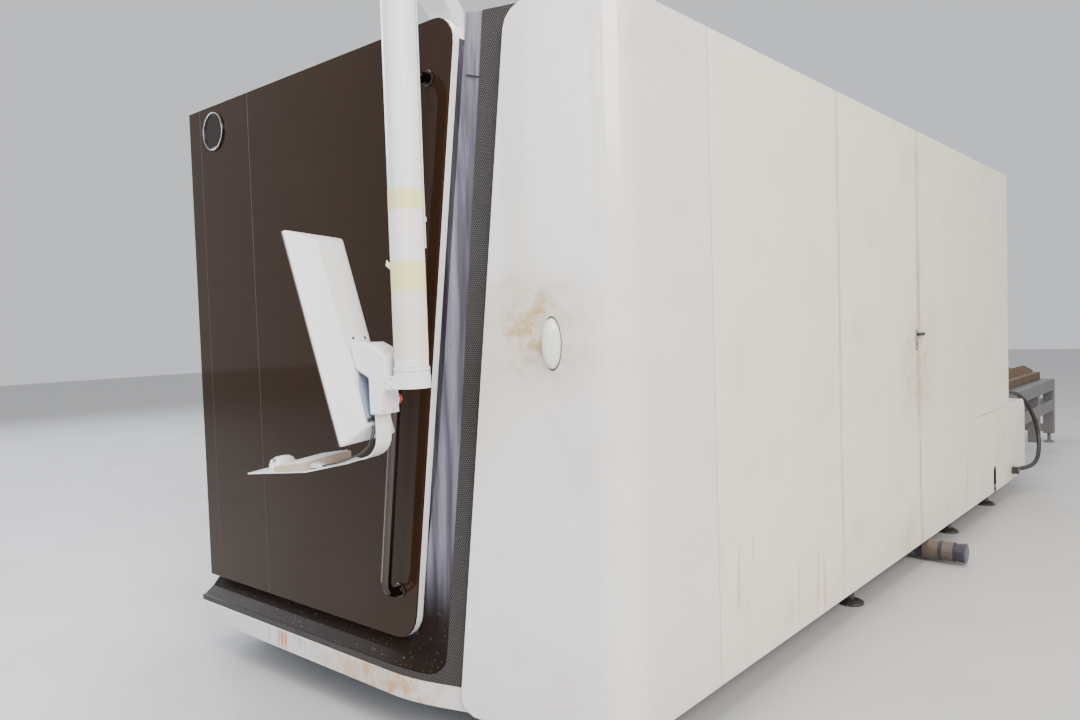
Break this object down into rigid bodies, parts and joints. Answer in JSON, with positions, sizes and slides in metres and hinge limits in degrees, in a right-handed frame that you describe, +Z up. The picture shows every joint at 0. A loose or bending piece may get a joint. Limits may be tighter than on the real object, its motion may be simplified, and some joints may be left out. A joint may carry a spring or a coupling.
{
  "type": "fiber laser cutting machine",
  "caption": "Enclosed fiber laser cutting machine with a sliding black glass door, a hinged rounded corner cover, an operator console on a pole and a two level pallet exchange table.",
  "frame": {"origin": "middle of the whole footprint, on the floor", "axes": "+Y from the front door to the rear of the exchange table, +Z up, +X to the side with the service door"},
  "size_m": [2.515, 9.3362, 2.67],
  "materials": {
    "side_white": "satin",
    "front_white": "satin",
    "console_white": "satin",
    "black_glass": "gloss",
    "gloss_black": "gloss",
    "perforated_black": "matte",
    "door_edge": "satin",
    "frame_paint": "matte",
    "bright_steel": "satin",
    "handle_steel": "satin",
    "dark_steel": "satin",
    "cut_steel": "matte",
    "table_paint": "satin",
    "motor_paint": "satin",
    "rubber": "matte",
    "stop_red": "gloss",
    "brass": "satin",
    "grey_plastic": "matte"
  },
  "bodies": {
    "machine": {"access_panel": "side_white", "base_frame": "dark_steel", "bed_frame_left": "frame_paint", "bed_frame_right": "frame_paint", "boom_mast": "console_white", "control_cabinet": "grey_plastic", "conveyor_belt": "rubber", "conveyor_motor": "motor_paint", "conveyor_side_left": "dark_steel", "conveyor_side_right": "dark_steel", "door_channel_bottom": "dark_steel", "door_channel_top": "dark_steel", "drain_hose": "rubber", "enclosure_frame": "frame_paint", "exchange_frame": "table_paint", "front_sill": "front_white", "front_surround": "gloss_black", "gas_panel": "brass", "guide_rail_left": "bright_steel", "guide_rail_right": "bright_steel", "left_panel_front": "side_white", "left_panel_rear": "side_white", "lower_gland": "dark_steel", "perforated_trim": "perforated_black", "rear_service_box": "side_white", "rear_wall": "side_white", "roof": "side_white", "side_panel_middle": "side_white", "side_panel_rear": "side_white", "upper_gland": "dark_steel"},
    "front_door": {"door_glass": "black_glass", "door_glass_left": "black_glass", "door_frame": "door_edge", "door_badge": "bright_steel", "door_handle": "handle_steel"},
    "corner_cover": {"corner_cover": "side_white"},
    "cover_latch": {"cover_latch": "console_white"},
    "service_door": {"service_door": "side_white", "lock_plate": "bright_steel"},
    "door_lever": {"door_lever": "rubber"},
    "boom": {"boom_arm": "console_white", "console_pole": "console_white"},
    "console": {"console_arm": "console_white", "screen_mount": "console_white", "junction_box": "console_white", "tray_plate": "console_white", "keyboard": "grey_plastic", "mouse": "console_white", "screen_shell": "console_white", "screen_glass": "black_glass"},
    "stop_button": {"stop_button": "stop_red"},
    "gantry": {"gantry_beam": "frame_paint"},
    "head_carriage": {"head_carriage": "console_white"},
    "cutting_head": {"cutting_head": "console_white", "cutting_nozzle": "brass"},
    "upper_pallet": {"upper_pallet": "cut_steel"},
    "lower_pallet": {"lower_pallet": "cut_steel"},
    "drive_drum": {"drive_drum": "dark_steel"},
    "idler_drum": {"idler_drum": "dark_steel"}
  },
  "joints": [
    {"name": "front_door_slide", "type": "slide", "parent": "machine", "child": "front_door", "axis": [-1, 0, 0], "range_m": [0, 1.1]},
    {"name": "corner_cover_hinge", "type": "hinge", "parent": "machine", "child": "corner_cover", "pos_m": [1.0525, -3.29437, 1.3], "axis": [0, 0, 1], "range_deg": [0, 100]},
    {"name": "cover_latch_turn", "type": "hinge", "parent": "corner_cover", "child": "cover_latch", "pos_m": [0.82663, -3.92896, 1.405], "axis": [0.2874, -0.9578, 0], "range_deg": [0, 90]},
    {"name": "service_door_hinge", "type": "hinge", "parent": "machine", "child": "service_door", "pos_m": [1.0525, -2.11437, 1.3], "axis": [0, 0, -1], "range_deg": [0, 100]},
    {"name": "door_lever_turn", "type": "hinge", "parent": "service_door", "child": "door_lever", "pos_m": [1.0525, -0.97937, 1.345], "axis": [-1, 0, 0], "range_deg": [0, 90]},
    {"name": "boom_swivel", "type": "hinge", "parent": "machine", "child": "boom", "pos_m": [0.2525, -3.78437, 2.62], "axis": [0, 0, 1], "range_deg": [-30, 0]},
    {"name": "console_swivel", "type": "hinge", "parent": "boom", "child": "console", "pos_m": [0.6525, -4.36437, 1.35], "axis": [0, 0, 1], "range_deg": [-10, 90]},
    {"name": "stop_button_press", "type": "slide", "parent": "console", "child": "stop_button", "axis": [0.3535, -0.9354, 0], "range_m": [0, 0.006], "stiffness_N_per_m": 400},
    {"name": "gantry_travel", "type": "slide", "parent": "machine", "child": "gantry", "axis": [0, 1, 0], "range_m": [0, 3.6]},
    {"name": "carriage_travel", "type": "slide", "parent": "gantry", "child": "head_carriage", "axis": [1, 0, 0], "range_m": [-0.66, 0.66]},
    {"name": "head_lift", "type": "slide", "parent": "head_carriage", "child": "cutting_head", "axis": [0, 0, 1], "range_m": [-0.08, 0.1]},
    {"name": "upper_pallet_travel", "type": "slide", "parent": "machine", "child": "upper_pallet", "axis": [0, 1, 0], "range_m": [-3.55, 0]},
    {"name": "lower_pallet_travel", "type": "slide", "parent": "machine", "child": "lower_pallet", "axis": [0, 1, 0], "range_m": [0, 3.55]},
    {"name": "drive_drum_spin", "type": "hinge", "parent": "machine", "child": "drive_drum", "pos_m": [-0.1025, -0.78437, 0.07], "axis": [1, 0, 0], "continuous": true},
    {"name": "idler_drum_spin", "type": "hinge", "parent": "machine", "child": "idler_drum", "pos_m": [-0.1025, -2.93437, 0.07], "axis": [1, 0, 0], "continuous": true}
  ],
  "couplings": [
    {"joint": "idler_drum_spin", "follows": "drive_drum_spin", "ratio": 1}
  ]
}
